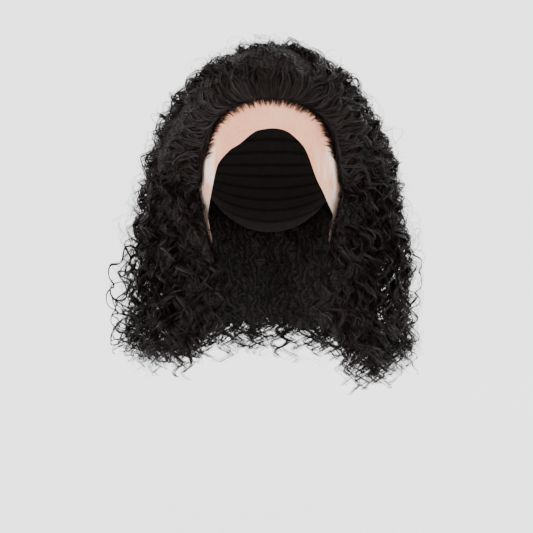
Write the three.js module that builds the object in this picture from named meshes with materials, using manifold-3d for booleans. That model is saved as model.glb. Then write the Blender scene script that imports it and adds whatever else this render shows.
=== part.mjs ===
// A curly lace front bob wig, in the form that it has on a head.
// A sheer lace front lies over the forehead, a weft cap covers the head behind it, and the hair is swept
// back from the hairline and hangs in curls to the shoulders, open at the face.
// Millimetres, +Z up, the face towards -Y. The origin is the point of the lining that the crown meets.

import * as THREE from 'three';
import Module from 'manifold-3d';
import { mergeVertices } from 'three/addons/utils/BufferGeometryUtils.js';

const wasm = await Module();
wasm.setup();

const { clamp, degToRad, lerp, radToDeg, smoothstep } = THREE.MathUtils;

// Driving sizes of the head and neck that the wig goes round
const headHalfWidth = 77;
const headHalfDepth = 99;
const crownHeight = 100; // from the head's widest level up to the crown
const neckHalfWidth = 56;
const neckHalfDepth = 72;
const jawDrop = 105; // from the widest level down to where the neck has its own width
const napeDrop = 75; // the same for the neck's depth

// Driving sizes of the lace front and the cap
const laceWall = 1;
const laceTail = 52; // how far the uncut corners hang in front of the ears
const laceMargin = 5; // free edge, which ripples
const laceRipple = 0.7;
const laceRipples = 13; // from ear to ear
const tailLean = 10; // how far back the tails hang
const capWall = 1.6;
const capGap = 0.7; // from the lace to the cap
const seamGap = 0.4; // between sections of hair
const laceSeat = 2.2; // from the lace to the hair, whose facets are larger
const hairSeat = 2.2; // the same from the cap

// Driving sizes of the hair
const hairLift = 22; // thickness over the crown
const sideBodyLeft = 69; // how far the sides stand out past the head
const sideBodyRight = 64;
const backBody = 29; // how far the back stands out past the head
const fall = 195; // from the head's widest level to the hem
const hairlineWall = 1.6;
const ridgeDepth = 7; // of the locks
const lockSway = 5;
const ringletRadius = 8;
const ringletCoil = 4;
const ringletPitch = 54;
const ringletDrop = 25; // how far the longest ringlets hang below the hem
const ringletRoot = 38; // how far they reach up into the hair

// How much the locks vary. The first three are shares of ridgeDepth: how far a lock stands out and the groove
// beside it lies in, how much the locks differ in that, and how far a lock sways in and out as it coils.
const ridgeShare = 0.7;
const ridgeVariety = 0.3;
const coilShare = 0.4;
const coilVariety = 2; // radians by which the coils of the locks are out of step
const shortestRinglet = 0.5; // share of the drop of its ring

// The locks: how many go round, their waves from the hairline to the hem, and the shares of that way between
// which the waves grow to their full size.
const locks = 21;
const waves = 5;
const waveStart = 0.05;
const waveFull = 0.5;
const hairlineEnd = 0.08; // share over which the hair thickens behind the hairline

// The partings divide the hair into sections: one from ear to ear over the crown, and one on each side of the
// middle, from the forehead to the nape.
const earParting = 18; // behind the middle of the head
const sideParting = 38; // out from the middle

// Angles, in degrees. Turn goes from the brow (0) over the crown (90) to the back (180).
const laceReach = 64; // from the middle to the side edge, round the head
const capReach = 67;
const seamTurn = 98; // where the lace meets the cap, in the middle
const seamTurnAtEar = 70;
const napeTurn = 221;
const napeTurnAtEar = 206;
const crownTurn = 90; // from here to backTurn the hair passes from hairLift to backBody
const backTurn = 170;

// The free edge of the lace, uneven as it was left uncut. out is the share of laceReach, left and right are
// turns in degrees, and tail is the share of laceTail on both sides.
const laceEdge = [
  { out: 0.0, left: 16, right: 16.5, tail: 0 },
  { out: 0.17, left: 15, right: 15.5, tail: 0 },
  { out: 0.32, left: 9, right: 10, tail: 0 },
  { out: 0.43, left: 6.5, right: 3, tail: 0 },
  { out: 0.5, left: 4, right: -9, tail: 0 },
  { out: 0.57, left: 0, right: -16, tail: 0 },
  { out: 0.64, left: -4, right: -24, tail: 0 },
  { out: 0.71, left: -23, right: -35, tail: 0 },
  { out: 0.79, left: -47, right: -51, tail: 0 },
  { out: 0.86, left: -54, right: -54, tail: 0.3 },
  { out: 0.93, left: -41, right: -41, tail: 1 },
  { out: 1.0, left: -45, right: -45, tail: 0.6 },
];

// The outer form of the hair, as arches from ear to ear, from the hairline back and down to the hem.
// turn, body and drop place the top of an arch: body is the share of hairLift or backBody, drop that of fall.
// wide, wideAt and wideDrop place its widest points: shares of a side's body, headHalfDepth and fall.
// An arch that is square by 2 is an ellipse, by less more pointed, and by more squarer.
const archTops = [
  { turn: 34, body: 0.13, drop: 0, wide: -0.14, wideAt: -0.54, wideDrop: 0.1, square: 3.6 },
  { turn: 48, body: 0.46, drop: 0, wide: 0.16, wideAt: -0.5, wideDrop: 0.02, square: 2.2 },
  { turn: 65, body: 0.84, drop: 0, wide: 0.39, wideAt: -0.4, wideDrop: 0, square: 1.85 },
  { turn: 83, body: 1.0, drop: 0, wide: 0.54, wideAt: -0.3, wideDrop: 0.01, square: 1.8 },
  { turn: 102, body: 1.0, drop: 0, wide: 0.64, wideAt: -0.18, wideDrop: 0.07, square: 1.8 },
  { turn: 122, body: 0.96, drop: 0, wide: 0.74, wideAt: -0.05, wideDrop: 0.17, square: 1.8 },
  { turn: 146, body: 0.86, drop: 0, wide: 0.83, wideAt: 0.05, wideDrop: 0.26, square: 1.8 },
  { turn: 169, body: 0.86, drop: 0.01, wide: 0.91, wideAt: 0.12, wideDrop: 0.38, square: 1.8 },
  { turn: 180, body: 0.95, drop: 0.19, wide: 0.95, wideAt: 0.15, wideDrop: 0.53, square: 1.8 },
  { turn: 180, body: 1.0, drop: 0.47, wide: 0.96, wideAt: 0.17, wideDrop: 0.7, square: 1.8 },
  { turn: 180, body: 0.8, drop: 0.75, wide: 0.97, wideAt: 0.18, wideDrop: 0.87, square: 1.8 },
  { turn: 180, body: 0.35, drop: 0.97, wide: 0.82, wideAt: 0.18, wideDrop: 0.99, square: 1.8 },
];
// The front ends of the same arches, beside the face: shares of headHalfWidth, headHalfDepth and fall.
// fill is the share of the depth, from the outside to the head and neck, that the hair fills.
const archEnds = [
  { edge: 0.88, edgeAt: -0.42, edgeDrop: 0.12, fill: 1 },
  { edge: 0.9, edgeAt: -0.44, edgeDrop: 0.18, fill: 1 },
  { edge: 0.88, edgeAt: -0.47, edgeDrop: 0.24, fill: 1 },
  { edge: 0.84, edgeAt: -0.52, edgeDrop: 0.3, fill: 1 },
  { edge: 0.81, edgeAt: -0.57, edgeDrop: 0.37, fill: 1 },
  { edge: 0.74, edgeAt: -0.61, edgeDrop: 0.45, fill: 1 },
  { edge: 0.64, edgeAt: -0.65, edgeDrop: 0.54, fill: 1 },
  { edge: 0.61, edgeAt: -0.69, edgeDrop: 0.63, fill: 1 },
  { edge: 0.66, edgeAt: -0.73, edgeDrop: 0.73, fill: 1 },
  { edge: 0.76, edgeAt: -0.77, edgeDrop: 0.83, fill: 1 },
  { edge: 0.87, edgeAt: -0.79, edgeDrop: 0.92, fill: 0.84 },
  { edge: 0.96, edgeAt: -0.77, edgeDrop: 0.99, fill: 0.55 },
];
const edgeFill = 0.42; // fill at the front edges, which stand clear of the cheeks
const edgeShare = 0.3; // share of an arch over which the fill grows from there

// Rings of ringlets under the hem: depth is the share of the way in, drop that of ringletDrop.
const ringletsRound = 24;
const ringletRings = [
  { depth: 0.2, drop: 1 },
  { depth: 0.75, drop: 0.7 },
];

const colours = { hair: 0x1b1718, cap: 0x15110f, lace: 0xd9bda9 };

// Values between the rows of a table, on a smooth curve through them.
function smoothTable(table, positions) {
  const names = Object.keys(table[0]);
  const values = table.flatMap((row) => names.map((name) => row[name]));
  const curve = new THREE.CubicInterpolant(positions, values, names.length, new Float64Array(names.length));
  return (at) => {
    const found = curve.evaluate(at);
    return Object.fromEntries(names.map((name, i) => [name, found[i]]));
  };
}
const evenly = (table) => table.map((row, i) => i / (table.length - 1));
const archTopAt = smoothTable(archTops, evenly(archTops));
const archEndAt = smoothTable(archEnds, evenly(archEnds));
const laceEdgeAt = smoothTable(laceEdge, laceEdge.map((row) => row.out));

// The half width and half depth of the head and neck at a height, grown by an offset.
function girth(z, offset) {
  const below = -crownHeight - z;
  const jaw = smoothstep(below, 0, jawDrop);
  const nape = smoothstep(below, 0, napeDrop);
  return {
    x: lerp(headHalfWidth, neckHalfWidth, jaw) + offset,
    y: lerp(headHalfDepth, neckHalfDepth, nape) + offset,
  };
}

// A point on the head, at a side angle from the middle and a turn from the brow, in degrees.
function onHead(side, turn, offset) {
  const beta = degToRad(side);
  const lambda = degToRad(turn);
  const forward = Math.cos(beta) * Math.cos(lambda);
  const n = new THREE.Vector3(Math.sin(beta), -forward, Math.cos(beta) * Math.sin(lambda));
  if (n.z >= 0) {
    n.multiply(new THREE.Vector3(headHalfWidth + offset, headHalfDepth + offset, crownHeight + offset));
    return n.setZ(n.z - crownHeight);
  }
  const z = -crownHeight + crownHeight * n.z;
  const around = girth(z, offset);
  const flat = Math.hypot(n.x, n.y);
  return new THREE.Vector3((n.x / flat) * around.x, (n.y / flat) * around.y, z);
}

// The point where the line from p to the middle of the head or neck meets its surface, grown by an offset.
function towardsHead(p, offset) {
  const above = Math.max(p.z + crownHeight, 0);
  const around = girth(Math.min(p.z, -crownHeight), offset);
  const reach = Math.hypot(p.x / around.x, p.y / around.y, above / (crownHeight + offset));
  const z = above > 0 ? -crownHeight + above / reach : p.z;
  return new THREE.Vector3(p.x / reach, p.y / reach, z);
}

// A box of columns and rows, each corner moved to place(u, v, outer), with u and v from 0 to 1. Each of its
// squares is split along the shorter diagonal.
function warpedBox(columns, rows, place) {
  const box = new THREE.BoxGeometry(1, 1, 1, columns, rows, 1);
  const corners = box.getAttribute('position');
  for (let i = 0; i < corners.count; i++) {
    const p = place(corners.getX(i) + 0.5, corners.getY(i) + 0.5, corners.getZ(i) > 0);
    corners.setXYZ(i, p.x, p.y, p.z);
  }
  const corner = (i) => new THREE.Vector3().fromBufferAttribute(corners, i);
  const order = box.index.array;
  for (let i = 0; i < order.length; i += 6) {
    const [a, b, d, , c] = order.slice(i, i + 6);
    if (corner(a).distanceTo(corner(c)) < corner(b).distanceTo(corner(d))) order.set([a, b, c, a, c, d], i);
  }
  return box;
}

// The lace: from its free edge at the forehead back to the seam, with the corners hanging as tails that keep
// to the face.
function laceFront() {
  const columns = 28;
  const rows = 12;
  const marginRows = 3;
  const marginTurn = radToDeg(laceMargin / crownHeight);
  return warpedBox(columns, rows, (u, v, outer) => {
    const out = 2 * u - 1;
    const edge = laceEdgeAt(Math.abs(out));
    const start = out < 0 ? edge.left : edge.right;
    const tail = Math.max(edge.tail, 0);
    const seam = lerp(seamTurn, seamTurnAtEar, out * out);
    const inMargin = Math.min((v * rows) / marginRows, 1);
    const pastMargin = Math.max((v * rows - marginRows) / (rows - marginRows), 0);
    const turn = lerp(start + marginTurn * inMargin, seam, pastMargin);
    const free = 1 - inMargin;
    const ripple = laceRipple * free * (1 + Math.sin(Math.PI * laceRipples * out));
    const offset = ripple + (outer ? laceWall : 0);
    const p = onHead(out * laceReach, turn, offset);
    if (tail * free === 0) return p;
    p.z -= laceTail * tail * free;
    p.y += tailLean * tail * free;
    return towardsHead(p, offset);
  });
}

// The weft cap: from the seam over the crown to the nape, cut out round the ears.
function weftCap() {
  const columns = 24;
  const rows = 14;
  const gapTurn = radToDeg(capGap / crownHeight);
  return warpedBox(columns, rows, (u, v, outer) => {
    const out = 2 * u - 1;
    const seam = lerp(seamTurn, seamTurnAtEar, out * out) + gapTurn;
    const nape = lerp(napeTurn, napeTurnAtEar, out * out);
    return onHead(out * capReach, lerp(seam, nape, v), outer ? capWall : 0);
  });
}

// A point on the smooth outer form of the hair. round goes from -1 at the left front edge, through 0 at the
// middle of the top and back, to 1 at the right front edge, and down from 0 at the hairline to 1 at the hem.
function onHair(round, down) {
  const row = archTopAt(down);
  const ends = archEndAt(down);
  const backwards = smoothstep(row.turn, crownTurn, backTurn);
  const lift = row.body * lerp(hairLift, backBody, backwards);
  const lambda = degToRad(row.turn);
  const top = {
    y: -(headHalfDepth + lift) * Math.cos(lambda),
    z: -crownHeight + (crownHeight + lift) * Math.sin(lambda) - row.drop * fall,
  };
  const halfWidth = headHalfWidth + row.wide * (round < 0 ? sideBodyLeft : sideBodyRight);
  const wide = { y: row.wideAt * headHalfDepth, z: -crownHeight - row.wideDrop * fall };
  const end = { y: ends.edgeAt * headHalfDepth, z: -crownHeight - ends.edgeDrop * fall };
  const power = 2 / row.square;
  const endShare = Math.min((ends.edge * headHalfWidth) / halfWidth, 1);
  const endAngle = Math.PI - Math.asin(endShare ** (1 / power));
  const angle = Math.abs(round) * endAngle;
  const x = Math.sign(round) * halfWidth * Math.sin(angle) ** power;
  const height = Math.abs(Math.cos(angle)) ** power;
  if (angle <= Math.PI / 2) {
    return new THREE.Vector3(x, lerp(wide.y, top.y, height), lerp(wide.z, top.z, height));
  }
  const share = height / Math.abs(Math.cos(endAngle)) ** power;
  return new THREE.Vector3(x, lerp(wide.y, end.y, share), lerp(wide.z, end.z, share));
}

// A number from -1 to 1 that differs from place to place but is the same each run.
const vary = (a, b = 0) => Math.sin(a * 12.9898 + b * 78.233 + Math.sin(a * 4.1 + b * 3.7) * 5);

// A point between the outside of the hair (depth 0) and its inside (depth 1), which seats on the lace at the
// hairline and on the cap behind it.
function inHair(round, down, depth) {
  const grown = smoothstep(down, 0, hairlineEnd);
  const seat = lerp(laceWall + laceSeat, capWall + hairSeat, grown);
  const outside = onHair(round, down);
  const inside = towardsHead(outside, seat);
  const outer = towardsHead(outside, seat + hairlineWall).lerp(outside, grown);
  const fill = lerp(edgeFill, 1, smoothstep(1 - Math.abs(round), 0, edgeShare));
  return outer.lerp(inside, depth * fill * archEndAt(down).fill);
}

// The whole wall of hair, from the head out. Each lock is a ridge of two columns that coils as it hangs.
function hairWall() {
  const columns = 2 * locks;
  const rows = 26;
  const step = 1 / columns;
  return warpedBox(columns, rows, (u, v, outer) => {
    const column = Math.round(u * columns);
    const round = 2 * u - 1;
    const p = inHair(round, v, outer ? 0 : 1);
    if (!outer) return p;
    const lock = Math.floor(column / 2);
    const grown = smoothstep(v, waveStart, waveFull);
    const phase = 2 * Math.PI * waves * v + coilVariety * vary(lock);
    const away = p.clone().sub(towardsHead(p, 0)).normalize();
    const across = onHair(round + step, v).sub(onHair(round - step, v)).normalize();
    const height = column % 2 ? ridgeShare + ridgeVariety * vary(lock, 1) : -ridgeShare;
    const edgeways = column === 0 || column === columns ? 0 : 1;
    p.addScaledVector(across, edgeways * lockSway * grown * Math.sin(phase));
    return p.addScaledVector(away, ridgeDepth * grown * (height + coilShare * Math.cos(phase)));
  });
}

// A tapering lock round a path: a sphere drawn out along it.
function lockAlong(path, radius) {
  const sides = 5;
  const rings = 9;
  const tip = 0.4; // share of the radius at the end
  const ball = new THREE.SphereGeometry(1, sides, rings);
  const frames = path.computeFrenetFrames(rings);
  const corners = ball.getAttribute('position');
  for (let i = 0; i < corners.count; i++) {
    const v = new THREE.Vector3().fromBufferAttribute(corners, i);
    const ring = Math.round((Math.acos(clamp(v.y, -1, 1)) / Math.PI) * rings);
    const along = ring / rings;
    const pole = ring === 0 || ring === rings;
    const width = pole ? 0 : radius * lerp(1, tip, along * along);
    const around = Math.atan2(v.z, v.x);
    const p = path.getPoint(along);
    p.addScaledVector(frames.normals[ring], width * Math.cos(around));
    p.addScaledVector(frames.binormals[ring], width * Math.sin(around));
    corners.setXYZ(i, p.x, p.y, p.z);
  }
  return ball;
}

// A ringlet that is rooted in the hair above the hem and coils down below it.
function ringlet(round, depth, drop) {
  const steps = 18;
  const hem = inHair(round, 1, depth);
  const root = inHair(round, 1 - ringletRoot / fall, depth);
  const rooted = root.distanceTo(hem);
  const length = rooted + drop;
  const out = new THREE.Vector3(hem.x, hem.y, 0).normalize();
  const across = new THREE.Vector3(-out.y, out.x, 0);
  const points = [];
  for (let i = 0; i <= steps; i++) {
    const travelled = (i / steps) * length;
    const p = root.clone().lerp(hem, Math.min(travelled / rooted, 1));
    p.z -= Math.max(travelled - rooted, 0);
    const angle = (2 * Math.PI * travelled) / ringletPitch + Math.PI * vary(round, depth);
    const coil = ringletCoil * smoothstep(travelled, 0, rooted);
    p.addScaledVector(out, coil * Math.cos(angle));
    points.push(p.addScaledVector(across, coil * Math.sin(angle)));
  }
  return lockAlong(new THREE.CatmullRomCurve3(points), ringletRadius);
}

function toSolid(geometry) {
  const bare = geometry.clone();
  bare.deleteAttribute('normal');
  bare.deleteAttribute('uv');
  const merged = mergeVertices(bare, 1e-3);
  return new wasm.Manifold(
    new wasm.Mesh({
      numProp: 3,
      vertProperties: new Float32Array(merged.getAttribute('position').array),
      triVerts: new Uint32Array(merged.index.array),
    }),
  );
}

function toGeometry(solid) {
  const mesh = solid.getMesh();
  const geometry = new THREE.BufferGeometry();
  geometry.setAttribute('position', new THREE.BufferAttribute(new Float32Array(mesh.vertProperties), 3));
  geometry.setIndex(new THREE.BufferAttribute(new Uint32Array(mesh.triVerts), 1));
  geometry.computeVertexNormals();
  return geometry;
}

// The sections that the partings leave. Each has the ringlets under its own stretch of the hem fused to it.
function hairSections() {
  const far = 2 * (headHalfWidth + fall);
  const gap = seamGap / 2;
  const places = [
    { name: 'front', y: [-far, earParting - gap] },
    { name: 'back', y: [earParting + gap, far] },
  ];
  const sides = [
    { name: 'left', x: [-far, -sideParting - gap] },
    { name: 'middle', x: [-sideParting + gap, sideParting - gap] },
    { name: 'right', x: [sideParting + gap, far] },
  ];
  const ringlets = ringletRings.flatMap((ring) =>
    Array.from({ length: ringletsRound }, (_, i) => {
      const round = (2 * (i + 0.5)) / ringletsRound - 1;
      const drop = ringletDrop * ring.drop * lerp(shortestRinglet, 1, (1 + vary(i, ring.depth)) / 2);
      return toSolid(ringlet(round, ring.depth, drop));
    }),
  );
  const wall = toSolid(hairWall());
  const inside = (low, high, range) => low > range[0] && high < range[1];
  const found = [];
  for (const place of places) {
    for (const side of sides) {
      const room = new THREE.BoxGeometry(side.x[1] - side.x[0], place.y[1] - place.y[0], 2 * far);
      room.translate((side.x[0] + side.x[1]) / 2, (place.y[0] + place.y[1]) / 2, 0);
      const bodies = wall.intersect(toSolid(room)).decompose();
      let section = bodies.reduce((most, body) => (body.volume() > most.volume() ? body : most));
      for (const one of ringlets) {
        const { min, max } = one.boundingBox();
        if (inside(min[0], max[0], side.x) && inside(min[1], max[1], place.y)) section = section.add(one);
      }
      found.push({ name: `hair_${place.name}_${side.name}`, section });
    }
  }
  return found;
}

function named(name, geometry, colour, roughness) {
  const material = new THREE.MeshStandardMaterial({ color: colour, roughness, metalness: 0 });
  const mesh = new THREE.Mesh(geometry, material);
  mesh.name = name;
  return mesh;
}

const wig = new THREE.Group();
wig.add(named('lace_front', laceFront(), colours.lace, 0.8));
wig.add(named('weft_cap', weftCap(), colours.cap, 0.9));
for (const { name, section } of hairSections()) {
  wig.add(named(name, toGeometry(section), colours.hair, 0.5));
}

export default wig;
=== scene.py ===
import math
import bmesh
import bpy
import numpy as np
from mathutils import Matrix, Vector
from mathutils.bvhtree import BVHTree


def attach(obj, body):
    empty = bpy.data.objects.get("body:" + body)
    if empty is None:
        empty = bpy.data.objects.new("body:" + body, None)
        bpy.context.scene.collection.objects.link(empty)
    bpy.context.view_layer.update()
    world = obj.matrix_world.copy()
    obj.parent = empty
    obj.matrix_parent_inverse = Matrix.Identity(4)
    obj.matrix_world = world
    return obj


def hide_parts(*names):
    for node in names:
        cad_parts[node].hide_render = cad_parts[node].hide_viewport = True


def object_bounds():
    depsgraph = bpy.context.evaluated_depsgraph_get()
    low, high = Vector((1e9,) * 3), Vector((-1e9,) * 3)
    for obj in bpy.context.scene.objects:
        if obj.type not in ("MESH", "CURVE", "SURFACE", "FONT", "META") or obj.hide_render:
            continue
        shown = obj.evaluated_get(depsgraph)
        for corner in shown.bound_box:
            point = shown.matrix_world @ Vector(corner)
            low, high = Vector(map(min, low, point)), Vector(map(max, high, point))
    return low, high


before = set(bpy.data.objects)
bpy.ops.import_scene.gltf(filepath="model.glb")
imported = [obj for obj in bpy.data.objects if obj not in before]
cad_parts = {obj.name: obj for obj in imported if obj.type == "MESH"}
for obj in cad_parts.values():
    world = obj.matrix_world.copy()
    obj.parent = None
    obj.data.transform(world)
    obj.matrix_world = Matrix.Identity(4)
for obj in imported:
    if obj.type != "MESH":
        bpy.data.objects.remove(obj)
cad_low, cad_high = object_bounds()


# Studio
# The wig is photographed from the front, from a little below its middle. It stands before white paper and
# under wide soft lamps.
eye_height = -0.2015
eye_distance = 1.63
camera_data = bpy.data.cameras.new("camera")
camera_data.lens = 110
camera_data.sensor_width = 36
camera = bpy.data.objects.new("camera", camera_data)
camera.location = (-0.0035, -eye_distance, eye_height)
camera.rotation_euler = (math.pi / 2, 0, 0)
bpy.context.scene.collection.objects.link(camera)
bpy.context.scene.camera = camera


class Value:
    """A shader socket that can stand in an expression of numbers."""

    def __init__(self, tree, socket):
        self.tree = tree
        self.socket = socket

    def maths(self, operation, *others, flip=False):
        node = self.tree.nodes.new("ShaderNodeMath")
        node.operation = operation
        terms = [self, *others]
        for i, term in enumerate(reversed(terms) if flip else terms):
            if isinstance(term, Value):
                self.tree.links.new(term.socket, node.inputs[i])
            else:
                node.inputs[i].default_value = term
        return Value(self.tree, node.outputs[0])

    def __add__(self, other):
        return self.maths("ADD", other)

    def __sub__(self, other):
        return self.maths("SUBTRACT", other)

    def __rsub__(self, other):
        return self.maths("SUBTRACT", other, flip=True)

    def __mul__(self, other):
        return self.maths("MULTIPLY", other)

    def __truediv__(self, other):
        return self.maths("DIVIDE", other)

    __radd__ = __add__
    __rmul__ = __mul__


class Finish:
    """A material made of nodes, whose own Principled shader is .surface."""

    def __init__(self, name, **settings):
        self.material = bpy.data.materials.new(name)
        self.material.use_nodes = True
        self.tree = self.material.node_tree
        self.surface = self.tree.nodes["Principled BSDF"]
        for key, value in settings.items():
            self.feed(self.surface.inputs[key], value)

    def feed(self, socket, value):
        if isinstance(value, Value):
            self.tree.links.new(value.socket, socket)
        elif isinstance(value, tuple) and socket.type == "RGBA":
            socket.default_value = (*value, 1)
        else:
            socket.default_value = value

    def node(self, kind, settings=None, output=0, **inputs):
        made = self.tree.nodes.new(kind)
        for key, value in (settings or {}).items():
            if key == "stops":
                ramp = made.color_ramp
                for i, (at, colour) in enumerate(value):
                    stop = ramp.elements[i] if i < 2 else ramp.elements.new(at)
                    stop.position = at
                    stop.color = (*colour, 1)
            else:
                setattr(made, key, value)
        for key, value in inputs.items():
            self.feed(made.inputs[int(key[1:]) if key[1:].isdigit() else key.replace("_", " ")], value)
        return Value(self.tree, made.outputs[output])

    def set(self, **links):
        for key, value in links.items():
            self.feed(self.surface.inputs[key.replace("_", " ")], value)


def finished(name, mesh, finish, slot=None):
    """An object at the origin that rides on the wig, or stands in the studio if it has no slot."""
    piece = bpy.data.objects.new(name, mesh)
    bpy.context.scene.collection.objects.link(piece)
    mesh.materials.clear()
    mesh.materials.append(finish.material)
    if slot:
        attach(piece, "root")
    return piece


def smooth_mesh(name, shell):
    mesh = bpy.data.meshes.new(name)
    shell.to_mesh(mesh)
    shell.free()
    mesh.shade_smooth()
    return mesh


floor_level = -0.43
floor_reach = 2.6
sweep_radius = 1.2
sweep_height = 3.5
paper = Finish("white_sweep", **{"Base Color": (0.35, 0.35, 0.35), "Roughness": 0.9})
paper.set(Emission_Color=(1, 1, 1), Emission_Strength=2.0)
grain = paper.node("ShaderNodeTexNoise", Scale=260.0, Detail=3.0)
paper.set(Normal=paper.node("ShaderNodeBump", Strength=0.04, Height=grain))
# The paper goes all round: a floor, a cove and a wall, spun from one profile.
shape = bmesh.new()
foot = shape.verts.new((floor_reach, 0, floor_level))
shape.edges.new([shape.verts.new((0, 0, floor_level)), foot])
cove = (floor_reach, 0, floor_level + sweep_radius)
bend = bmesh.ops.spin(shape, geom=[foot], cent=cove, axis=(0, 1, 0), angle=-math.pi / 2, steps=12)
bend_end = [v for v in bend["geom_last"] if isinstance(v, bmesh.types.BMVert)]
rim = bmesh.ops.extrude_vert_indiv(shape, verts=bend_end)["verts"]
bmesh.ops.translate(shape, verts=rim, vec=(0, 0, sweep_height))
bmesh.ops.spin(
    shape,
    geom=shape.verts[:] + shape.edges[:],
    cent=(0, 0, 0),
    axis=(0, 0, 1),
    angle=2 * math.pi,
    steps=96,
    use_merge=True,
)
bmesh.ops.remove_doubles(shape, verts=shape.verts, dist=1e-4)
bmesh.ops.recalc_face_normals(shape, faces=shape.faces)
bmesh.ops.reverse_faces(shape, faces=shape.faces)
finished("sweep", smooth_mesh("sweep", shape), paper)

world = bpy.data.worlds.new("studio")
world.use_nodes = True
world.node_tree.nodes["Background"].inputs["Color"].default_value = (1, 1, 1, 1)
world.node_tree.nodes["Background"].inputs["Strength"].default_value = 0.35
bpy.context.scene.world = world

lamps = [
    {"name": "key_lamp", "at": (-1.3, -1.7, 0.9), "size": 0.8, "watts": 30},
    {"name": "fill_lamp", "at": (1.5, -1.6, 0.3), "size": 1.0, "watts": 13},
    {"name": "top_lamp", "at": (0.1, 0.3, 1.4), "size": 1.0, "watts": 2},
    {"name": "back_lamp", "at": (0.6, 1.5, 0.7), "size": 1.0, "watts": 7},
]
lamp_target = Vector((0, 0, -0.15))
for row in lamps:
    light = bpy.data.lights.new(row["name"], "AREA")
    light.size = row["size"]
    light.energy = row["watts"]
    lamp = bpy.data.objects.new(row["name"], light)
    lamp.location = row["at"]
    lamp.rotation_euler = (lamp_target - lamp.location).to_track_quat("-Z", "Y").to_euler()
    bpy.context.scene.collection.objects.link(lamp)


# Weft cap
# A cap of black stretch net covers the head behind the lace. Rows of wefts are sewn across it from ear to
# ear, and the hair hangs from them.
head_middle = Vector((0, 0, -0.100))
least_facing = 0.35  # how squarely a face looks out or in, for it to be kept
cap_thickness = 0.0012


def cad_shell(node, keep):
    """The CAD node's own faces that point away from the head (keep 1) or towards it (keep -1), merged."""
    shell = bmesh.new()
    shell.from_mesh(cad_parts[node].data)
    bmesh.ops.remove_doubles(shell, verts=shell.verts, dist=1e-6)
    shell.normal_update()
    spare = []
    for face in shell.faces:
        middle = face.calc_center_median()
        out = middle - Vector((0, 0, min(middle.z, head_middle.z)))
        if face.normal.dot(out.normalized()) * keep < least_facing:
            spare.append(face)
    bmesh.ops.delete(shell, geom=spare, context="FACES")
    return shell


row_turn = 0.14  # radians from one weft to the next
weft_share = 0.14  # of a row, on either side of its middle
net = Finish(
    "cap_net", **{"Base Color": (0.012, 0.010, 0.009), "Roughness": 0.85, "Specular IOR Level": 0.2}
)
place = net.node("ShaderNodeTexCoord", output=3)
forward = net.node("ShaderNodeSeparateXYZ", output=1, _0=place) * -1
height = net.node("ShaderNodeSeparateXYZ", output=2, _0=place) - head_middle.z
row_place = (height.maths("ARCTAN2", forward) / row_turn).maths("PINGPONG", 0.5)
weft = row_place.maths("LESS_THAN", weft_share)
thread = net.node("ShaderNodeTexVoronoi", {"feature": "DISTANCE_TO_EDGE"}, Vector=place, Scale=620.0)
relief = weft * 0.6 + thread
net_tones = [(0.0, (0.016, 0.013, 0.012)), (0.6, (0.005, 0.0042, 0.004))]
net.set(
    Base_Color=net.node("ShaderNodeValToRGB", {"stops": net_tones}, _0=relief),
    Normal=net.node("ShaderNodeBump", Strength=0.7, Distance=0.0012, Height=relief),
)
cap = finished("cap", smooth_mesh("cap", cad_shell("weft_cap", -1)), net, "cap_net")
wall = cap.modifiers.new("wall", "SOLIDIFY")
wall.thickness = cap_thickness
wall.offset = 1
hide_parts("weft_cap")


# Lace front
# A sheer skin-toned net, sewn to the front of the cap and left uncut over the forehead, with two tails in
# front of the ears. It has faint creases, and it is palest at the sides and down the tails.
lace_net = Finish(
    "lace_net", **{"Base Color": (0.80, 0.52, 0.40), "Roughness": 0.6, "Specular IOR Level": 0.3}
)
place = lace_net.node("ShaderNodeTexCoord", output=3)
hole = lace_net.node("ShaderNodeTexVoronoi", {"feature": "DISTANCE_TO_EDGE"}, Vector=place, Scale=900.0)
cloud = lace_net.node("ShaderNodeTexNoise", Vector=place, Scale=26.0, Detail=3.0)
aside = lace_net.node("ShaderNodeSeparateXYZ", output=0, _0=place).maths("ABSOLUTE")
height = lace_net.node("ShaderNodeSeparateXYZ", output=2, _0=place)
crease_space = lace_net.node(
    "ShaderNodeMapping", Vector=place, Rotation=(0, 0.5, 0), Scale=(150, 60, 16)
)
crease = lace_net.node("ShaderNodeTexNoise", Vector=crease_space, Scale=1.0, Detail=1.0)
folded = lace_net.node("ShaderNodeMapRange", _0=aside, _1=0.020, _2=0.058, _3=0.1, _4=1.0)
wavering = aside + crease * 0.03
pale_side = lace_net.node(
    "ShaderNodeMapRange", {"interpolation_type": "SMOOTHSTEP"}, _0=wavering, _1=0.058, _2=0.075
)
pale_low = lace_net.node(
    "ShaderNodeMapRange", {"interpolation_type": "SMOOTHSTEP"}, _0=height, _1=-0.075, _2=-0.10
)
pale_strap = lace_net.node("ShaderNodeMapRange", _0=height, _1=-0.120, _2=-0.145, _3=0.0, _4=0.9)
pale_fold = lace_net.node("ShaderNodeMapRange", _0=crease, _1=0.44, _2=0.56, _3=0.05, _4=1.0)
pale = (pale_side * pale_low * pale_fold).maths("MAXIMUM", pale_strap)
skin_tones = [(0.3, (0.66, 0.26, 0.15)), (0.7, (0.75, 0.35, 0.22))]
skin_tone = lace_net.node("ShaderNodeValToRGB", {"stops": skin_tones}, _0=cloud)
pale_tone = (0.77, 0.58, 0.48)
lace_relief = crease * folded + hole * 0.05
lace_net.set(
    Base_Color=lace_net.node(
        "ShaderNodeMix", {"data_type": "RGBA"}, output=2, _0=pale, _6=skin_tone, _7=pale_tone
    ),
    Alpha=lace_net.node("ShaderNodeMapRange", _0=hole, _1=0.1, _2=0.35, _3=0.97, _4=0.6),
    Normal=lace_net.node("ShaderNodeBump", Strength=0.8, Distance=0.004, Height=lace_relief),
)
lace = finished("lace", smooth_mesh("lace", cad_shell("lace_front", 1)), lace_net, "lace")
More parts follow.
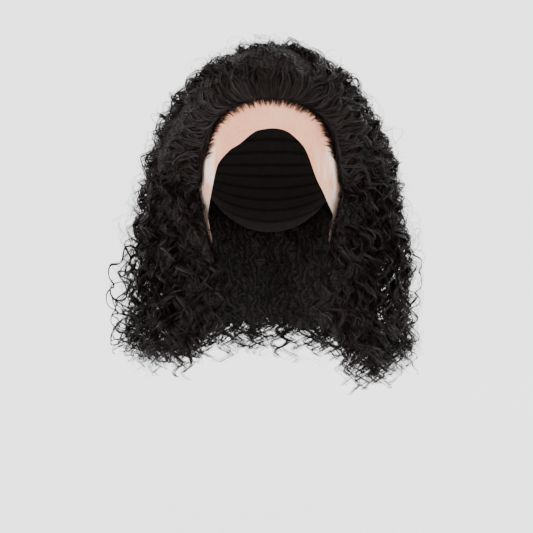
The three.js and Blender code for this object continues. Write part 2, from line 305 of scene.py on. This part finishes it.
lace_levels = 2
soften = lace.modifiers.new("soften", "SUBSURF")
soften.levels = soften.render_levels = lace_levels
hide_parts("lace_front")


# Hair
# Long curly hair, knotted to the lace at the hairline and sewn to the cap behind it. It is swept straight
# back, fills out behind the ears and falls in coils.
head_half = Vector((0.077, 0.099, 0.100))
side_body = 0.067
fall = 0.195

# The flow of the hair, as arches from ear to ear: turn, body and drop place the top of an arch, wide,
# wide_at and wide_drop its widest points, edge, edge_at and edge_drop its front ends, and square says how
# square it is. Turns are in degrees from the brow over the crown and body is in metres. The rest are shares
# of head_half, side_body and fall.
FLOW = (
    "turn", "body", "drop", "wide", "wide_at", "wide_drop", "edge", "edge_at", "edge_drop", "square",
)
flow_rows = np.array(
    [
        (34, 0.003, 0.00, -0.14, -0.54, 0.10, 0.88, -0.42, 0.12, 3.6),
        (48, 0.010, 0.00, 0.16, -0.50, 0.02, 0.90, -0.44, 0.18, 2.2),
        (65, 0.018, 0.00, 0.39, -0.40, 0.00, 0.88, -0.47, 0.24, 1.85),
        (83, 0.022, 0.00, 0.54, -0.30, 0.01, 0.84, -0.52, 0.30, 1.8),
        (102, 0.022, 0.00, 0.64, -0.18, 0.07, 0.81, -0.57, 0.37, 1.8),
        (122, 0.023, 0.00, 0.74, -0.05, 0.17, 0.74, -0.61, 0.45, 1.8),
        (146, 0.024, 0.00, 0.83, 0.05, 0.26, 0.64, -0.65, 0.54, 1.8),
        (169, 0.025, 0.01, 0.91, 0.12, 0.38, 0.61, -0.69, 0.63, 1.8),
        (180, 0.028, 0.19, 0.95, 0.15, 0.53, 0.66, -0.73, 0.73, 1.8),
        (180, 0.029, 0.47, 0.96, 0.17, 0.70, 0.76, -0.77, 0.83, 1.8),
        (180, 0.023, 0.75, 0.97, 0.18, 0.87, 0.87, -0.79, 0.92, 1.8),
        (180, 0.010, 0.97, 0.82, 0.18, 0.99, 0.96, -0.77, 0.99, 1.8),
    ]
)


def along_rows(rows, share):
    """Values on smooth curves through the rows, at shares of the way from the first to the last."""
    at = np.clip(share, 0, 1) * (len(rows) - 1)
    low = np.minimum(at.astype(int), len(rows) - 2)
    f = (at - low)[..., None]
    slope = np.gradient(rows, axis=0)
    a, b, da, db = rows[low], rows[low + 1], slope[low], slope[low + 1]
    rest = 1 - f
    return a * (1 + 2 * f) * rest**2 + b * f**2 * (3 - 2 * f) + da * f * rest**2 - db * f**2 * rest


def mix(a, b, share):
    return a + (b - a) * share


def ease(x, low, high):
    s = np.clip((x - low) / (high - low), 0, 1)
    return s * s * (3 - 2 * s)


def flow_point(side, down):
    """The flow of the hair: side from -1 at the left of the face, over the back, to 1, and down from the
    hairline (0) to the hem (1)."""
    row = dict(zip(FLOW, np.moveaxis(along_rows(flow_rows, down), -1, 0)))
    turn = np.radians(row["turn"])
    top_y = -(head_half.y + row["body"]) * np.cos(turn)
    top_z = (head_half.z + row["body"]) * np.sin(turn) - row["drop"] * fall
    half = head_half.x + row["wide"] * side_body
    wide_y = row["wide_at"] * head_half.y
    wide_z = -row["wide_drop"] * fall
    end_y = row["edge_at"] * head_half.y
    end_z = -row["edge_drop"] * fall
    square = row["square"]
    end_out = np.minimum(row["edge"] * head_half.x / half, 1)
    end_height = np.maximum(1 - end_out**square, 1e-9) ** (1 / square)
    heading = np.abs(side) * (np.pi - np.arctan2(end_out, end_height))
    outward, upward = np.sin(heading), np.abs(np.cos(heading))
    size = (outward**square + upward**square) ** (-1 / square)
    x = np.sign(side) * half * size * outward
    height = size * upward
    past = height / end_height
    upper = heading <= np.pi / 2
    y = np.where(upper, mix(wide_y, top_y, height), mix(wide_y, end_y, past))
    z = np.where(upper, mix(wide_z, top_z, height), mix(wide_z, end_z, past))
    return np.stack([x, y, z + head_middle.z], -1)


def axis_point(p):
    """The nearest point to p on the upright line down from the middle of the head."""
    return np.stack([0 * p[..., 0], 0 * p[..., 0], np.minimum(p[..., 2], head_middle.z)], -1)


def cad_tree(*nodes):
    """The faces of CAD nodes, to be searched by place."""
    copy = bmesh.new()
    for node in nodes:
        copy.from_mesh(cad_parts[node].data)
    found = BVHTree.FromBMesh(copy)
    copy.free()
    return found


# How far out the solid hair reaches along that flow, and how far in, as shares of the way to a flow point
hair_nodes = [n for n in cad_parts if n.startswith("hair_")]
tree = cad_tree(*hair_nodes)
grid_sides = np.linspace(-1, 1, 97)
grid_downs = np.linspace(0, 1, 73)
grid_flow = flow_point(*np.meshgrid(grid_sides, grid_downs, indexing="ij"))
grid_axis = axis_point(grid_flow)
reach = np.full((2, *grid_flow.shape[:2]), np.nan)
far = 0.5  # metres, outside all the hair
smoothings = 6
for i, j in np.ndindex(grid_flow.shape[:2]):
    start = Vector(grid_axis[i, j])
    way = Vector(grid_flow[i, j]) - start
    size = way.length
    way.normalize()
    for k, (origin, heading) in enumerate(((start + way * far, -way), (start, way))):
        hit = tree.ray_cast(origin, heading, far)[0]
        if hit is not None:
            reach[k, i, j] = (hit - start).length / size
for k in range(2):
    for i in range(reach.shape[1]):
        row = reach[k, i]
        known = ~np.isnan(row)
        if known.any():
            reach[k, i] = np.interp(grid_downs, grid_downs[known], row[known])
    for j in range(reach.shape[2]):
        column = reach[k, :, j]
        known = ~np.isnan(column)
        reach[k, :, j] = np.interp(grid_sides, grid_sides[known], column[known])
for _ in range(smoothings):
    near = np.pad(reach, ((0, 0), (1, 1), (1, 1)), mode="edge")
    reach = (4 * reach + near[:, :-2, 1:-1] + near[:, 2:, 1:-1] + near[:, 1:-1, :-2] + near[:, 1:-1, 2:]) / 8


def in_hair(side, down, depth):
    """A point in the hair, from its outside (depth 0) to its inside (depth 1)."""
    p = flow_point(side, down)
    start = axis_point(p)
    a = (np.clip(side, -1, 1) + 1) / 2 * (len(grid_sides) - 1)
    b = np.clip(down, 0, 1) * (len(grid_downs) - 1)
    i = np.minimum(a.astype(int), len(grid_sides) - 2)
    j = np.minimum(b.astype(int), len(grid_downs) - 2)
    f, g = a - i, b - j
    above = mix(reach[:, i, j], reach[:, i + 1, j], f)
    below = mix(reach[:, i, j + 1], reach[:, i + 1, j + 1], f)
    outside, inside = mix(above, below, g)
    return start + (p - start) * mix(outside, inside, depth)[..., None]


def unit(v):
    return v / np.maximum(np.linalg.norm(v, axis=-1, keepdims=True), 1e-9)


neck_half = Vector((0.056, 0.072, 0))
jaw_drop = 0.105
nape_drop = 0.075
head_room = 0.0036  # from the head to the innermost strands


def off_head(p):
    """The points, with those inside the head and neck moved out to just over their surface."""
    below = np.maximum(head_middle.z - p[..., 2], 0)
    above = np.maximum(p[..., 2] - head_middle.z, 0)
    half_x = mix(head_half.x, neck_half.x, ease(below, 0, jaw_drop)) + head_room
    half_y = mix(head_half.y, neck_half.y, ease(below, 0, nape_drop)) + head_room
    half_z = head_half.z + head_room
    reached = np.sqrt((p[..., 0] / half_x) ** 2 + (p[..., 1] / half_y) ** 2 + (above / half_z) ** 2)
    grow = 1 / np.clip(reached, 0.3, 1)
    return np.stack([p[..., 0] * grow, p[..., 1] * grow, p[..., 2] + above * (grow - 1)], -1)


proud = 0.008  # how far past the solid's box strands stand out freely
proud_share = 0.35  # of the rest, which they keep


def held_in(p):
    """The points, with those far outside the solid's box drawn back towards it."""
    low, high = np.array(cad_low) - proud, np.array(cad_high) + proud
    return p + (1 - proud_share) * (np.maximum(low - p, 0) - np.maximum(p - high, 0))


hair = Finish(
    "curly_hair", **{"Base Color": (0.010, 0.007, 0.006), "Roughness": 0.42, "Specular IOR Level": 0.11}
)
strand_map = hair.node("ShaderNodeUVMap", {"uv_map": "OFBake"})
tone = hair.node("ShaderNodeTexNoise", Vector=strand_map, Scale=90.0, Detail=2.0)
hair_tones = [
    (0.35, (0.0024, 0.0017, 0.0016)),
    (0.55, (0.0065, 0.0040, 0.0034)),
    (0.75, (0.028, 0.015, 0.011)),
]
hair.set(
    Base_Color=hair.node("ShaderNodeValToRGB", {"stops": hair_tones}, _0=tone),
    Roughness=hair.node("ShaderNodeMapRange", _0=tone, _1=0.3, _2=0.7, _3=0.34, _4=0.5),
)

# The inner hair, whose locks can't be told apart, coloured darker than the locks as painted shade for the
# dark deep between them
inner_hair = Finish(
    "inner_hair", **{"Base Color": (0.003, 0.0024, 0.0022), "Roughness": 0.7, "Specular IOR Level": 0.15}
)
place = inner_hair.node("ShaderNodeTexCoord", output=3)
curls = inner_hair.node(
    "ShaderNodeTexWave",
    Vector=place,
    Scale=48.0,
    Distortion=14.0,
    Detail=3.0,
    Detail_Scale=1.3,
    Detail_Roughness=0.6,
)
# Painted shade: these tones are darker than the hair's own colour, and stand in for the shadow inside the
# hair
inner_painted_shade_tones = [(0.3, (0.0012, 0.001, 0.001)), (0.95, (0.012, 0.008, 0.007))]
inner_hair.set(
    Base_Color=inner_hair.node("ShaderNodeValToRGB", {"stops": inner_painted_shade_tones}, _0=curls),
    Normal=inner_hair.node("ShaderNodeBump", Strength=0.8, Distance=0.002, Height=curls),
)
side_end = 0.975  # where it ends beside the face, as a share of the way to the hair's own edge
first_down = 0.02  # its front edge, behind the hairline
back_span = 0.915
front_span = 0.85
innermost = 0.97
shape = bmesh.new()
bmesh.ops.create_grid(shape, x_segments=128, y_segments=72, size=0.5)
outer = list(shape.verts)
grown = bmesh.ops.extrude_face_region(shape, geom=list(shape.faces))["geom"]
inner = [v for v in grown if isinstance(v, bmesh.types.BMVert)]
for verts, is_inner in ((outer, False), (inner, True)):
    flat = np.array([v.co[:2] for v in verts])
    side = 2 * flat[:, 0] * side_end
    beside_face = ease(np.abs(side), 0.35, 0.6)
    ragged = 0.010 * np.sin(61 * side + 2 * np.sin(23 * side))
    ragged = ragged + 0.012 * np.sin(151 * side + 3 * np.sin(9 * side))
    share = 0.5 - flat[:, 1]
    down = first_down + share * mix(back_span, front_span, beside_face) + ragged * share**6
    # Deeper in at the hairline, and where the front locks hang apart
    under = 0.16 + 0.6 * (1 - ease(down, first_down, 0.16)) + 0.35 * beside_face * ease(down, 0.62, 0.8)
    depth = np.full(len(flat), innermost) if is_inner else under
    for v, p in zip(verts, in_hair(side, down, depth)):
        v.co = p
bmesh.ops.recalc_face_normals(shape, faces=shape.faces)
body = finished("inner_hair", smooth_mesh("inner_hair", shape), inner_hair, "hair")
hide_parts(*hair_nodes)


class Strands:
    """Strands gathered for one joined mesh. Each is a ribbon that faces outwards."""

    columns = 64  # of strand tones across the map

    def __init__(self):
        self.points, self.maps, self.counts = [], [], []

    def add(self, paths, facing, widths):
        """paths and facing are (strands, steps, 3), and widths (strands, steps)."""
        along = unit(np.gradient(paths, axis=1))
        across = unit(np.cross(along, facing)) * widths[..., None] / 2
        self.points.append(np.stack([paths - across, paths + across], 2).reshape(-1, 3))
        strands, steps = paths.shape[:2]
        u = np.floor(chance.random(strands) * self.columns)[:, None, None] + np.array([0.1, 0.9])
        u = np.broadcast_to(u, (strands, steps, 2)) / self.columns
        v = np.broadcast_to(np.linspace(0, 1, steps)[None, :, None], u.shape)
        self.maps.append(np.stack([u, v], -1).reshape(-1, 2))
        self.counts += [steps] * strands

    def mesh(self, name):
        points = np.concatenate(self.points)
        maps = np.concatenate(self.maps)
        starts = np.cumsum([0, *self.counts[:-1]]) * 2
        first = np.concatenate([start + 2 * np.arange(n - 1) for start, n in zip(starts, self.counts)])
        corners = (first[:, None] + np.array([0, 1, 3, 2])).ravel()
        made = bpy.data.meshes.new(name)
        made.vertices.add(len(points))
        made.vertices.foreach_set("co", points.ravel())
        made.loops.add(len(corners))
        made.loops.foreach_set("vertex_index", corners)
        made.polygons.add(len(first))
        made.polygons.foreach_set("loop_start", 4 * np.arange(len(first)))
        made.update(calc_edges=True)
        made.shade_smooth()
        layer = made.uv_layers.new(name="OFBake")
        layer.uv.foreach_set("vector", maps[corners].ravel())
        return made


chance = np.random.default_rng(14)


def drift(at, wavelength, count=1):
    """Smooth wandering from about -1 to 1 along a length, for each of count strands."""
    total = np.zeros((count, len(at)))
    for part in (1.0, 0.55, 0.31):
        swing = 2 * math.pi * at[None, :] / (wavelength * part)
        pace = chance.uniform(0.8, 1.2, (count, 1))
        total += part * np.sin(swing * pace + chance.uniform(0, 6.3, (count, 1)))
    return total / 1.4


swells = [
    {"across": 1.7, "along": 3.1, "start": 0.4},
    {"across": -3.3, "along": 5.2, "start": 2.1},
    {"across": 4.6, "along": 7.9, "start": 4.4},
    {"across": -6.1, "along": 9.3, "start": 1.2},
]


def swell(side, down, start):
    """Wandering from about -1 to 1 that neighbouring locks share."""
    waves = (
        np.sin(2 * math.pi * (row["across"] * side + row["along"] * down) + row["start"] + start)
        for row in swells
    )
    return sum(waves) / 2.4


sections = (
    "left_front", "left", "left_back", "middle_left", "middle_right", "right_back", "right", "right_front",
)
groups = {name: Strands() for name in sections}
pitch = 0.026  # of a middling coil
# Lengths of a strand's straight pieces where it is wavy, where it is curled and at the hem
wave_step = 0.0055
curl_step = 0.003
hem_step = 0.0020
tail_step = 0.002  # of a lock's path below the hem
strand_width = 0.00085
last_on_lace = 0.03  # roots nearer the hairline than this are knotted to the lace
under_depth = 0.85  # of the roots behind it, on the cap
loose_length = 0.05  # what they have behind them where they show
rise_over = 0.16  # how far down the flow a lock comes out to its own depth
flatness = 0.7  # of the coils, across the hair


def lock(
    aim, root, depth, count, spread, coil, end=1.0, below=0.0, wander=0.0035, width=strand_width, loosely=1.0
):
    """A lock of strands, rooted nearer the middle than the side that it aims for, which coils to its end."""
    strands = groups[sections[int((aim + 1) * 4)]]
    side = aim - 0.05 * math.sin(math.pi * aim)
    down = np.linspace(root, end, 160)
    travelled = (down - root) / (end - root)
    rise = ease(travelled * (end - root), 0, rise_over)
    depths = mix(0.0 if root < last_on_lace else under_depth, depth, rise)
    # It lies closer on the left above the ears, stands out more on the right and is flat over the crown.
    leaning = -0.08 if aim > 0 else 0.05 * (1 - ease(down, 0.3, 0.6))
    depths = depths + leaning * rise * ease(abs(aim), 0.05, 0.3)
    depths = depths + 0.16 * rise * (1 - ease(down, 0.4, 0.6)) * (1 - ease(abs(aim), 0.12, 0.3))
    sides = mix(side, aim, ease(travelled, 0, 0.45))
    middle = in_hair(sides, down, depths)
    if below > 0:
        steps = int(below / tail_step) + 1
        tail = np.repeat(middle[-1:], steps, 0)
        tail[:, 2] -= np.linspace(0, below, steps + 1)[1:]
        middle = np.concatenate([middle, tail])
        down = np.concatenate([down, np.full(steps, end)])
    length = np.concatenate([[0], np.cumsum(np.linalg.norm(np.diff(middle, axis=0), axis=1))])
    rooted_at = 0.0 if root < last_on_lace else loose_length
    step = mix(wave_step, curl_step, ease(length + rooted_at, 0.02, 0.08))
    step = mix(step, hem_step, ease(down, 0.78, 0.92))
    progress = np.concatenate([[0], np.cumsum(np.diff(length) / step[1:])])
    at = np.interp(np.arange(0, progress[-1]), progress, length)
    middle = np.stack([np.interp(at, length, middle[:, k]) for k in range(3)], -1)
    down = np.interp(at, length, down)
    along = unit(np.gradient(middle, axis=0))
    out = unit(middle - axis_point(middle))
    out = unit(out - along * np.sum(out * along, -1, keepdims=True))
    beside = np.cross(along, out)
    from_root = at + rooted_at
    grown = mix(0.08, 0.5, ease(from_root, 0.010, 0.045)) + 0.5 * ease(from_root, 0.04, 0.15)
    grown = grown * (1 + 0.35 * ease(down, 0.82, 0.96))
    loose = ease(from_root, 0.012, 0.08)
    sway = drift(at, 0.085, 2) * wander * loose
    rolling = 0.0045 * loose * swell(aim, down, 0)
    sliding = 0.006 * loose * swell(aim, down, 2)
    middle = middle + (0.6 * sway[0] + rolling)[:, None] * out + (sway[1] + sliding)[:, None] * beside
    slackness = chance.uniform(0.8, 1.3) * (1 + 0.2 * drift(at, 0.11)[0])
    slackness = slackness * mix(1, 0.8, ease(down, 0.78, 0.95))
    turns = np.cumsum(np.gradient(at) / (pitch * slackness))
    grown = grown * np.minimum(slackness, 1.2)  # a tight curl is a narrow one
    hand = chance.choice([-1, 1])
    tuft = chance.integers(0, 3, count)
    tufts = chance.normal(size=(3, 3))[tuft]
    jitter = chance.normal(size=(count, 4))
    share = (at / at[-1])[None, :]
    phase = 2 * math.pi * turns[None, :] + chance.uniform(0, 6.3)
    lag = (0.6 * tufts[:, :1] + 0.2 * jitter[:, :1]) * share + 0.15 * jitter[:, 1:2]
    phase = phase + loosely * lag
    radius = coil * grown[None, :] * (1 + loosely * (0.16 * jitter[:, 2:3] + 0.15 * tufts[:, 2:3]))
    radius = radius * (1 + loosely * 0.15 * drift(at, 0.07, count))
    gathered = mix(1, 0.5, ease(down, 0.3, 0.95))  # the locks are most defined at their ends
    parted = np.minimum(share * 12 + 0.3, 1) * gathered
    apart = spread * chance.normal(size=(count, 2, 1)) * parted[:, None, :]
    offset = apart + loosely * 0.002 * tufts[:, :2, None] * share[:, None, :] ** 2
    turn_out = flatness * radius * np.cos(phase) + offset[:, 0]
    turn_beside = hand * radius * np.sin(phase) + offset[:, 1]
    paths = middle + turn_out[..., None] * out + turn_beside[..., None] * beside
    paths = held_in(off_head(paths))
    facing = out + 0.5 * chance.normal(size=(count, 1, 3))
    taper = mix(1, 0.35, share**3) * mix(0.45, 1, ease(from_root, 0, 0.03))
    strands.add(paths, facing, width * taper * (1 + 0.25 * jitter[:, 3:4]))


# Layers of locks: how many, where they are rooted, how deep they lie, the strands in each, the size of their
# coils, how far the longest hang below the hem and how loosely their strands keep together
layers = [
    dict(locks=94, roots=(0.0, 0.0), depths=(0.02, 0.2), strands=11, coil=0.0056, below=0.022, loosely=0.9),
    dict(locks=94, roots=(0.04, 0.3), depths=(0.0, 0.26), strands=11, coil=0.0062, below=0.026, loosely=0.8),
    dict(locks=64, roots=(0.3, 0.55), depths=(0.2, 0.7), strands=10, coil=0.0062, below=0.026, loosely=0.8),
    dict(locks=84, roots=(0.5, 0.64), depths=(0.85, 1.0), strands=6, coil=0.0042, below=0.016, loosely=1.0),
    dict(locks=104, roots=(0.74, 0.86), depths=(0.1, 0.9), strands=8, coil=0.0068, below=0.024, loosely=0.5),
]
last_side = 0.985  # of a lock, beside the face
right_front = 0.3  # the hair hangs lower from here on
for layer in layers:
    for i in range(layer["locks"]):
        # The locks along the hairline are the most evenly spaced.
        shift = mix(0.5, chance.random(), 0.35 if layer["roots"][1] == 0 else 1)
        aim = (2 * (i + shift) / layer["locks"] - 1) * last_side
        lock(
            aim,
            chance.uniform(*layer["roots"]),
            chance.uniform(*layer["depths"]),
            layer["strands"],
            spread=0.0015,
            coil=layer["coil"] * chance.uniform(0.75, 1.25),
            end=chance.uniform(0.94, 1.0),
            below=max(chance.uniform(-0.006, layer["below"]) + (0.009 if aim > right_front else -0.004), 0),
            loosely=layer["loosely"],
        )

# Single round ringlets at the hem: wide of it on the left, longest on the right, and along the back
strays = [
    dict(locks=18, aims=(-0.76, -0.48), roots=(0.5, 0.78), depths=(-0.3, 0.05), below=(0.0, 0.012)),
    dict(locks=14, aims=(0.6, 0.92), roots=(0.62, 0.78), depths=(0.0, 0.8), below=(0.02, 0.034)),
    dict(locks=6, aims=(0.4, 0.6), roots=(0.5, 0.7), depths=(-0.15, 0.05), below=(0.0, 0.01)),
    dict(locks=34, aims=(-0.36, 0.36), roots=(0.66, 0.8), depths=(0.0, 0.95), below=(0.0, 0.02)),
]
for row in strays:
    for _ in range(row["locks"]):
        lock(
            chance.uniform(*row["aims"]),
            chance.uniform(*row["roots"]),
            chance.uniform(*row["depths"]),
            count=9,
            spread=0.0009,
            coil=0.0082 * chance.uniform(0.8, 1.2),
            end=chance.uniform(0.92, 1.0),
            below=chance.uniform(*row["below"]),
            loosely=0.35,
        )

# Loose pairs of strands over the locks
loose_pairs = 620
for _ in range(loose_pairs):
    aim = chance.uniform(-last_side, last_side)
    root = chance.uniform(last_on_lace, 0.8)
    lock(
        aim,
        root,
        chance.uniform(-0.14, 0.1),
        count=2,
        spread=0.0045,
        coil=0.0068 * chance.uniform(0.6, 1.4),
        end=min(root + chance.uniform(0.2, 0.4), 1),
        below=max(chance.uniform(-0.02, 0.02), 0) if root > 0.6 else 0,
        wander=0.006,
        width=0.0005,
    )
for name, strands in groups.items():
    locks = finished("locks_" + name, strands.mesh("locks_" + name), hair, "hair")
    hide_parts(*hair_nodes)

# Short hairs along the hairline, each from a knot in the lace in front of it over the lace into the hair
lace_tree = cad_tree("lace_front")
fine = Strands()
short_hairs = 1300
longest_forward = 0.0088
steps = np.linspace(0, 1, 9)[:, None]
for _ in range(short_hairs):
    side = chance.uniform(-0.8, 0.8)
    downs = np.array([0.0, chance.uniform(0.025, 0.07)])
    here, deep = in_hair(np.full(2, side), downs, np.array([0.6, 0.1]))
    found, normal, _, _ = lace_tree.find_nearest(Vector(here))
    lift = np.array(found + normal * 0.001) + 0.0006 * chance.normal(size=3)
    # The knot lies along the lace towards the middle of the face, as far as it looks from the front.
    inward = Vector((-found.x, 0, head_middle.z - found.z)).normalized()
    inward -= normal * normal.dot(inward)
    forward = (longest_forward * chance.random() ** 2.2 - 0.001) / max(inward.length_squared, 0.3)
    knot = found + inward * forward + Vector(0.0004 * chance.normal(size=3))
    found, normal, _, _ = lace_tree.find_nearest(knot)
    root = np.array(found + normal * 0.0003)
    path = root * (1 - steps) ** 2 + 2 * lift * steps * (1 - steps) + deep * steps**2
    width = 0.00045 * mix(0.4, 1, np.minimum(steps.T * 4, 1)) * chance.uniform(0.6, 1.2)
    fine.add(path[None], np.array(normal)[None, None] + 0 * path[None], width)

# Fine ends that stand out of the hair
fine_ends = 520
end_bends = 22
end_width = 0.00036
for _ in range(fine_ends):
    side = chance.uniform(-0.97, 0.97)
    start = chance.uniform(0.05, 0.9)
    down = start + np.linspace(0, chance.uniform(0.05, 0.2), end_bends)
    path = in_hair(np.full(end_bends, side), np.minimum(down, 1), np.full(end_bends, 0.05))
    out = unit(path - axis_point(path))
    along = unit(np.gradient(path, axis=0))
    beside = np.cross(along, out)
    rising = np.linspace(0, 1, end_bends)[:, None]
    swing = chance.uniform(0, 6.3) + rising * chance.uniform(3, 9)
    stand = chance.uniform(0.003, 0.011) * np.sin(rising * 2.4) + 0.002 * np.cos(swing)
    path = path + out * stand + beside * 0.004 * np.sin(swing) * rising
    facing = chance.normal(size=(1, 1, 3)) + 0 * path[None]
    fine.add(path[None], facing, np.full((1, end_bends), end_width))
finished("fine_hairs", fine.mesh("fine_hairs"), hair, "hair")
